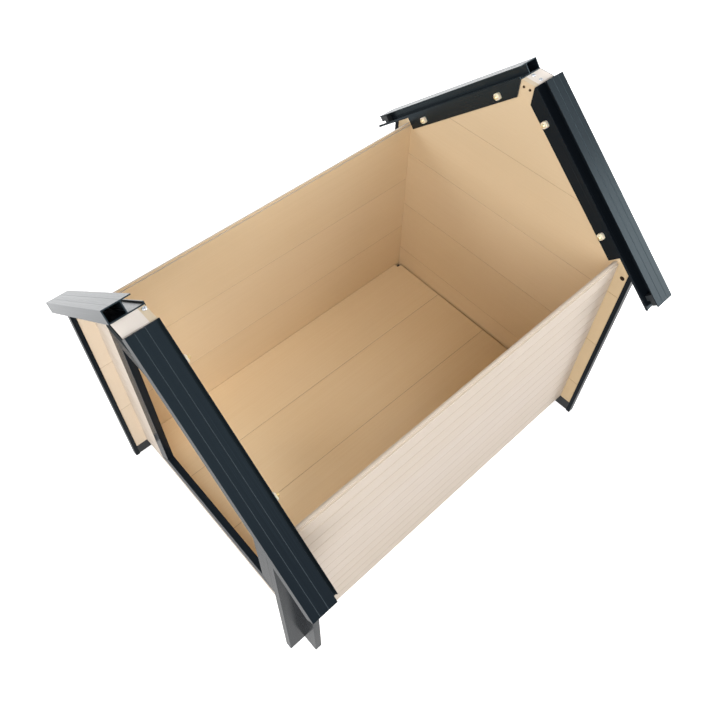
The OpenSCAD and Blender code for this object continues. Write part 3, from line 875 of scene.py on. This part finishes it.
class FastenerPlacer:
    """Geometry Nodes that set one fastener on every marked point and give it its finish."""

    TURN = "turn"

    def __init__(self) -> None:
        """Builds the node tree."""
        tree = bpy.data.node_groups.new("fastener_placer", "GeometryNodeTree")
        tree.interface.new_socket("Points", in_out="INPUT", socket_type="NodeSocketGeometry")
        fastener = tree.interface.new_socket("Fastener", in_out="INPUT", socket_type="NodeSocketObject")
        finish = tree.interface.new_socket("Finish", in_out="INPUT", socket_type="NodeSocketMaterial")
        tree.interface.new_socket("Fasteners", in_out="OUTPUT", socket_type="NodeSocketGeometry")
        given = add_node(tree, "NodeGroupInput")
        turn = add_node(tree, "GeometryNodeInputNamedAttribute", {"Name": self.TURN},
                        data_type="FLOAT_VECTOR")
        turned = add_node(tree, "FunctionNodeEulerToRotation", {"Euler": turn.outputs["Attribute"]})
        shape = add_node(tree, "GeometryNodeObjectInfo",
                         {"Object": given.outputs["Fastener"], "As Instance": True})
        placed = add_node(tree, "GeometryNodeInstanceOnPoints",
                          {"Points": given.outputs["Points"], "Instance": shape.outputs["Geometry"],
                           "Rotation": turned.outputs["Rotation"]})
        real = add_node(tree, "GeometryNodeRealizeInstances", {"Geometry": placed.outputs["Instances"]})
        dressed = add_node(tree, "GeometryNodeSetMaterial",
                           {"Geometry": real.outputs["Geometry"], "Material": given.outputs["Finish"]})
        add_node(tree, "NodeGroupOutput", {"Fasteners": dressed.outputs["Geometry"]})
        self.tree = tree
        self.fastener_id = fastener.identifier
        self.finish_id = finish.identifier

    def place(
        self,
        name: str,
        fastener: bpy.types.Mesh,
        spots: Iterable[tuple[Vector, Euler]],
        finish: bpy.types.Material,
    ) -> bpy.types.Object:
        """Sets a fastener on each spot and returns them as one plain mesh.

        Args:
            name: Name of the new piece.
            fastener: The fastener's mesh about its own origin.
            spots: Place in metres and turn of each one.
            finish: The material that all of them take.

        Returns:
            The new piece, riding on nothing yet.
        """
        spots = list(spots)
        cloud = bpy.data.meshes.new(name + "_points")
        cloud.from_pydata([tuple(place) for place, _ in spots], [], [])
        turns = cloud.attributes.new(self.TURN, "FLOAT_VECTOR", "POINT")
        for item, (_, turn) in zip(turns.data, spots):
            item.vector = tuple(turn)
        points = scene_object(name + "_points", cloud)
        pattern = scene_object(name + "_pattern", fastener)
        modifier = points.modifiers.new("placer", "NODES")
        modifier.node_group = self.tree
        modifier[self.fastener_id] = pattern
        modifier[self.finish_id] = finish
        bpy.context.view_layer.update()
        evaluated = points.evaluated_get(bpy.context.evaluated_depsgraph_get())
        mesh = bpy.data.meshes.new_from_object(evaluated)
        mesh.name = name
        points.modifiers.remove(modifier)
        for spare in (points, pattern):
            bpy.data.objects.remove(spare)
        return scene_object(name, mesh)


def dress(node: str, finish: bpy.types.Material) -> None:
    """Gives a CAD node's object a finish in all its slots.

    Args:
        node: The CAD node's name.
        finish: The material.
    """
    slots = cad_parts[node].data.materials
    if not slots:
        slots.append(finish)
    for index in range(len(slots)):
        slots[index] = finish
    LOG.info("dressed %s in %s", node, finish.name)


def stand_for(piece: bpy.types.Object, slot: str, *nodes: str) -> None:
    """Makes a piece ride on the house and stand for CAD nodes.

    Args:
        piece: The new piece.
        slot: The record's material slot; not used.
        *nodes: The CAD nodes that it replaces.
    """
    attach(piece, BODY)
    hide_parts(*nodes)
    LOG.info("piece %s stands for %s", piece.name, ", ".join(nodes))


def rounded_piece(node: str, kind: str, radius_mm: float, finish: bpy.types.Material, slot: str) -> None:
    """Makes a piece with round edges in place of a CAD node.

    Args:
        node: The CAD node that it stands for.
        kind: Last word of the piece's name.
        radius_mm: Radius of its edges.
        finish: Its material.
        slot: The record's material slot.
    """
    mesh = rounded_copy(node, radius_mm)
    mesh.materials.clear()
    mesh.materials.append(finish)
    stand_for(scene_object(f"{node}_{kind}", mesh), slot, node)


@dataclass
class Boards:
    """Walls, floor and apex blocks: the planks keep their CAD shapes and get their finish."""

    house: House
    floor_planks: int = 4
    floor_start: float = -155.0
    hole_reach: float = 6.4

    def nodes(self) -> dict[str, list[str]]:
        """Names of the planks of each kind of wall."""
        courses = range(1, self.house.side_courses + 1)
        sides = [f"{side.name.lower()}_plank_{number}" for side in Side for number in courses]
        gables = [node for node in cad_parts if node.startswith(("back_plank_", "front_plank_"))]
        floor = [f"floor_plank_{number + 1}" for number in range(self.floor_planks)]
        return {"sides": sides, "gables": gables, "floor": floor}

    def build(self) -> None:
        """Dresses every plank and block."""
        house = self.house
        finishes = {
            # The side walls' outer faces take the darker default colour, a painted shade against the lamp
            # light on them, and the gables' are painted paler
            "sides": BoardFinish("fibre_board_side", Axis.Y, Axis.X, course_start_mm=house.foot_h,
                                 edge_colour="#d4c6b5", outer_joint=0.4, inner_joint_shade=0.4,
                                 wing_start_mm=house.gable_out),
            # The gables' wings get a darker painted tone, a painted shade for the shade under the rails
            "gables": BoardFinish("fibre_board_gable", Axis.X, Axis.Y,
                                  course_start_mm=house.foot_h + house.plank_h / 2.0, colour="#dbcfc3",
                                  fibre_colour="#d5c7b6", inner_joint_shade=0.42,
                                  bore_mm=(*house.wing_hole(), self.hole_reach),
                                  wing_start_mm=house.side_out, wing_painted_tone="#d2ba95"),
            "floor": BoardFinish("fibre_board_floor", Axis.Y, Axis.Z, Axis.X,
                                 course_start_mm=self.floor_start, colour="#f0d9b5",
                                 fibre_colour="#e8cda3", outer_joint=0.5),
        }
        for kind, nodes in self.nodes().items():
            material = finishes[kind].build()
            for node in nodes:
                dress(node, material)
        # The apex blocks are painted near white: their own pale colour, and a painted sheen on their tops
        block = BoardFinish("fibre_board_block", Axis.X, Axis.Z, colour="#faf1e8", fibre_colour="#f6eade")
        material = block.build()
        for end in End:
            dress(f"apex_block_{end.name.lower()}", material)


@dataclass
class Profiles:
    """Rails, corner profiles, door frame and apex plates, with their edges rounded as a die leaves them."""

    house: House
    rail_gloss: Mapping[Side, float] = field(default_factory=lambda: {Side.LEFT: 0.3, Side.RIGHT: 0.12})
    rail_edge: float = 0.7
    corner_edge: float = 0.5
    frame_edge: float = 0.8

    def build(self) -> None:
        """Makes and dresses every coated profile."""
        upright = CoatedProfile("anthracite_coat_upright", Axis.Z, painted_reflection_tint="#e6fcff", rough=(0.2, 0.24),
                                specular=0.07).build()
        level = CoatedProfile("anthracite_coat_level", Axis.X).build()
        # The apex plates are matt black, a painted shade for the dark front under each apex block
        matt = CoatedProfile("black_coat_matt", Axis.X, colour="#0b0d0f", line_colour="#111315",
                             rough=(0.78, 0.82), specular=0.1).build()
        rail_coats = {side: CoatedProfile(f"anthracite_coat_rail_{side.name.lower()}", Axis.X,
                                          slope_deg=-side.value * self.house.roof_pitch, edge_share=0.4,
                                          specular=self.rail_gloss[side]).build() for side in Side}
        pieces = []
        for end in End:
            for side in Side:
                corner = f"{end.name.lower()}_{side.name.lower()}"
                pieces.append((f"rail_{corner}", self.rail_edge, rail_coats[side], "profile"))
                pieces.append((f"corner_{corner}", self.corner_edge, upright, "profile"))
            pieces.append((f"apex_plate_{end.name.lower()}", self.corner_edge, matt, "profile"))
        for node, coat in (("door_jamb_left", upright), ("door_jamb_right", upright),
                           ("door_head", level), ("door_sill", level)):
            pieces.append((node, self.frame_edge, coat, "door_frame"))
        for node, radius, coat, slot in pieces:
            rounded_piece(node, "profile", radius, coat, slot)


@dataclass
class Mouldings:
    """Feet, floor bearers and the plugs in the rails."""

    foot_edge: float = 1.0
    plug_edge: float = 0.8

    def build(self) -> None:
        """Makes the feet and the plugs, and dresses the bearers."""
        plastic = MouldedPlastic("moulded_polypropylene_black", "#17191b", "#202325").build()
        beam = MouldedPlastic("recycled_plastic_beam", "#2a2a29", "#3a3935", grain_mm=4.0,
                              rough=(0.54, 0.66)).build()
        for end in End:
            for side in Side:
                corner = f"{end.name.lower()}_{side.name.lower()}"
                rounded_piece(f"foot_{corner}", "moulding", self.foot_edge, plastic, "foot")
        grey = MouldedPlastic("moulded_polypropylene_grey", "#2b2f32", "#34383b").build()
        rounded_piece("rail_plugs", "moulding", self.plug_edge, grey, "plug")
        for place in ("front", "centre", "back"):
            dress(f"bearer_{place}", beam)


@dataclass
class Fasteners:
    """Rail bolts with their nuts, and the screws of the apex and the floor."""

    house: House
    screw_turn: float = 15.0

    def rail_spots(self, out: float, facing_out: bool) -> list[tuple[Vector, Euler]]:
        """Places on the gables for bolts or nuts.

        Args:
            out: Distance from a gable's inner face, outwards.
            facing_out: True where the fastener's top faces away from the house.

        Returns:
            Place in metres and turn of each one.
        """
        spots = []
        for end in End:
            for side in Side:
                for x, z in self.house.bolt_spots():
                    y = end.value * (self.house.inner_l / 2.0 + out)
                    faces_back = (end is End.BACK) == facing_out
                    tilt = Matrix.Rotation(side.value * self.house.pitch, 3, "Y")
                    stand = Matrix.Rotation(math.radians(-90.0 if faces_back else 90.0), 3, "X")
                    spots.append((Vector((side.value * x, y, z)) / 1000.0, (tilt @ stand).to_euler()))
        return spots

    def build(self) -> None:
        """Makes all fasteners that show, and dresses the hidden ones."""
        placer = FastenerPlacer()
        house = self.house
        zinc = PlatedSteel("zinc_plated_steel", "#d2d6da", "#b4b8bd").build()
        yellow = PlatedSteel("yellow_zinc_plated_steel", "#ecdfba", "#dcc99a", rough=(0.3, 0.52)).build()
        bronze = PlatedSteel("bronzed_steel", "#5a4430", "#3c2d20", rough=(0.32, 0.54)).build()
        nylon = MouldedPlastic("moulded_nylon_cream", "#f6ecd6", "#f0e2c6", grain_mm=0.9, rough=(0.36, 0.48),
                               subsurface=0.15).build()
        nuts = placer.place("rail_nuts_moulded", SquareNut().build(),
                            self.rail_spots(-house.rail_wall, False), nylon)
        stand_for(nuts, "nut", "rail_nuts")
        bolts = placer.place("rail_bolts_cup_head", CupBolt().build(),
                             self.rail_spots(house.plank_t, True), yellow)
        stand_for(bolts, "bolt", "rail_bolts")
        # Each screw stopped at a turn of its own
        top_spots = [(Vector((x, y, house.apex_z())) / 1000.0,
                      Euler((0.0, 0.0, math.radians(self.screw_turn + x)))) for x, y in house.apex_spots()]
        top_screw = CrossScrew(head=house.apex_head, arm=3.0, arm_half_width=0.7)
        top = placer.place("apex_screws_cross", top_screw.build(), top_spots, zinc)
        stand_for(top, "screw", "apex_screws")
        block_spots = [
            (Vector((side.value * house.block_screw_pitch / 2.0, end.value * house.inner_l / 2.0,
                     house.apex_z() - house.block_screw_drop)) / 1000.0,
             Euler((math.radians(90.0 * end.value), 0.0, 0.0)))
            for end in End for side in Side]
        block_screw = CrossScrew(head=6.5, length=34.0, arm=1.9)
        block = placer.place("block_screws_cross", block_screw.build(), block_spots, bronze)
        stand_for(block, "dark_screw", "block_screws")
        dress("floor_screws", zinc)


@dataclass(frozen=True)
class Softbox:
    """A square area lamp that looks at the house, placed by its direction from it."""

    name: str
    azimuth: float
    elevation: float
    power: float
    size: float = 1.5
    distance: float = 3.0
    aim: tuple[float, float, float] = (0.0, 0.0, 0.4)

    def build(self) -> None:
        """Adds the lamp to the scene."""
        data = bpy.data.lights.new(self.name, "AREA")
        data.shape = "SQUARE"
        data.size = self.size
        data.energy = self.power
        lamp = scene_object(self.name, data)
        azimuth, elevation = math.radians(self.azimuth), math.radians(self.elevation)
        level = math.cos(elevation)
        way = Vector((level * math.cos(azimuth), level * math.sin(azimuth), math.sin(elevation)))
        lamp.location = Vector(self.aim) + self.distance * way
        lamp.rotation_euler = (-way).to_track_quat("-Z", "Y").to_euler()


@dataclass
class Studio:
    """White studio: floor, sky, soft lamps and the camera."""

    floor_colour: str = "#f0f0f0"
    floor_glow: float = 0.75
    floor_half: float = 9.0
    # Glow that gloss sees on the floor, a painted reflection with a painted shadow near the house
    mirror_share: float = 0.7
    mirror_painted_shadow: float = 0.85
    mirror_painted_brightness: float = 2.0
    mirror_ring: tuple[float, float] = (1.08, 1.32)
    camera_place: tuple[float, float, float] = (0.7981, -0.7725, 1.9300)
    camera_turn: tuple[float, float, float] = (37.7865, -1.1407, 47.4857)
    lens: float = 36.2246
    sensor: float = 36.0
    shift: tuple[float, float] = (-0.0029, -0.0549)
    lamps: tuple[Softbox, ...] = (
        Softbox("front_right_softbox", 315.0, 20.0, 35.0),
        Softbox("front_left_softbox", 225.0, 20.0, 33.0),
        Softbox("back_right_softbox", 45.0, 45.0, 34.0),
        Softbox("front_softbox", 270.0, 20.0, 18.0),
        Softbox("back_left_softbox", 140.0, 20.0, 42.0),
        Softbox("high_left_softbox", 135.0, 45.0, 15.0),
        Softbox("high_right_softbox", 315.0, 48.0, 23.0),
        Softbox("right_softbox", 0.0, 45.0, 7.0),
        Softbox("low_softbox", 22.0, 20.0, 3.0),
        Softbox("rail_softbox", 48.0, 19.0, 27.5, size=1.0),
    )

    def build(self) -> None:
        """Sets up the whole studio."""
        self.make_floor()
        self.make_sky()
        for lamp in self.lamps:
            lamp.build()
        self.make_camera()
        bpy.context.scene.view_settings.view_transform = "Standard"

    @staticmethod
    def seen_by(tree: bpy.types.NodeTree) -> tuple[bpy.types.NodeSocket, bpy.types.NodeSocket]:
        """Adds nodes that tell how a ray arrives.

        Args:
            tree: The node tree that gets them.

        Returns:
            Two sockets: one is 1 for the camera's own rays, the other for rays from gloss and glass.
        """
        path = add_node(tree, "ShaderNodeLightPath")
        shiny = add_node(tree, "ShaderNodeMath",
                         {0: path.outputs["Is Glossy Ray"], 1: path.outputs["Is Transmission Ray"]},
                         operation="MAXIMUM")
        return path.outputs["Is Camera Ray"], shiny.outputs["Value"]

    def make_floor(self) -> None:
        """Adds the white floor, which glows a little so that only a faint shadow is left.

        In gloss it shows a painted reflection: a painted shadow close to the house, and a glow brighter than
        white further out.
        """
        half = self.floor_half
        mesh = bpy.data.meshes.new("studio_floor")
        mesh.from_pydata([(-half, -half, 0.0), (half, -half, 0.0), (half, half, 0.0), (-half, half, 0.0)],
                         [], [(0, 1, 2, 3)])
        material = bpy.data.materials.new("studio_floor")
        material.use_nodes = True
        tree = material.node_tree
        tree.nodes.clear()
        camera, shiny = self.seen_by(tree)
        matt = add_node(tree, "ShaderNodeBsdfDiffuse", {"Color": linear(self.floor_colour)})
        level = add_node(tree, "ShaderNodeMath", {0: camera, 1: self.floor_glow}, operation="MULTIPLY")
        glow = add_node(tree, "ShaderNodeEmission", {"Strength": level.outputs["Value"]})
        plain = add_node(tree, "ShaderNodeAddShader", {0: matt.outputs["BSDF"], 1: glow.outputs["Emission"]})
        # Painted reflection for gloss: darker near the house as a painted shadow, brighter than white further
        # out
        place = add_node(tree, "ShaderNodeTexCoord")
        far = add_node(tree, "ShaderNodeVectorMath", {0: place.outputs["Object"]}, operation="LENGTH")
        bright = add_node(tree, "ShaderNodeMapRange",
                          {"Value": far.outputs["Value"], "From Min": self.mirror_ring[0],
                           "From Max": self.mirror_ring[1], "To Min": self.mirror_painted_shadow,
                           "To Max": self.mirror_painted_brightness})
        mirrored = add_node(tree, "ShaderNodeEmission", {"Strength": bright.outputs["Result"]})
        share = add_node(tree, "ShaderNodeMath", {0: shiny, 1: self.mirror_share}, operation="MULTIPLY")
        both = add_node(tree, "ShaderNodeMixShader", {0: share.outputs["Value"], 1: plain.outputs["Shader"],
                                                      2: mirrored.outputs["Emission"]})
        add_node(tree, "ShaderNodeOutputMaterial", {"Surface": both.outputs["Shader"]})
        mesh.materials.append(material)
        scene_object("studio_floor", mesh)

    def make_sky(self) -> None:
        """Sets a white sky that shows to the camera and in gloss, and lights nothing else."""
        world = bpy.data.worlds.new("studio_sky")
        world.use_nodes = True
        tree = world.node_tree
        tree.nodes.clear()
        camera, shiny = self.seen_by(tree)
        seen = add_node(tree, "ShaderNodeMath", {0: camera, 1: shiny}, operation="MAXIMUM")
        sky = add_node(tree, "ShaderNodeBackground", {"Strength": seen.outputs["Value"]})
        add_node(tree, "ShaderNodeOutputWorld", {"Surface": sky.outputs["Background"]})
        bpy.context.scene.world = world

    def make_camera(self) -> None:
        """Adds the camera at the photograph's place."""
        data = bpy.data.cameras.new("camera")
        data.lens = self.lens
        data.sensor_width = self.sensor
        data.sensor_fit = "HORIZONTAL"
        data.shift_x, data.shift_y = self.shift
        data.clip_end = 100.0
        camera = scene_object("camera", data)
        camera.location = self.camera_place
        camera.rotation_euler = [math.radians(a) for a in self.camera_turn]
        bpy.context.scene.camera = camera


def main() -> None:
    """Builds the house's looks in order."""
    logging.basicConfig(level=logging.INFO)
    house = House()
    Boards(house).build()
    Profiles(house).build()
    Mouldings().build()
    Fasteners(house).build()
    Studio().build()


if __name__ == "__main__":
    main()
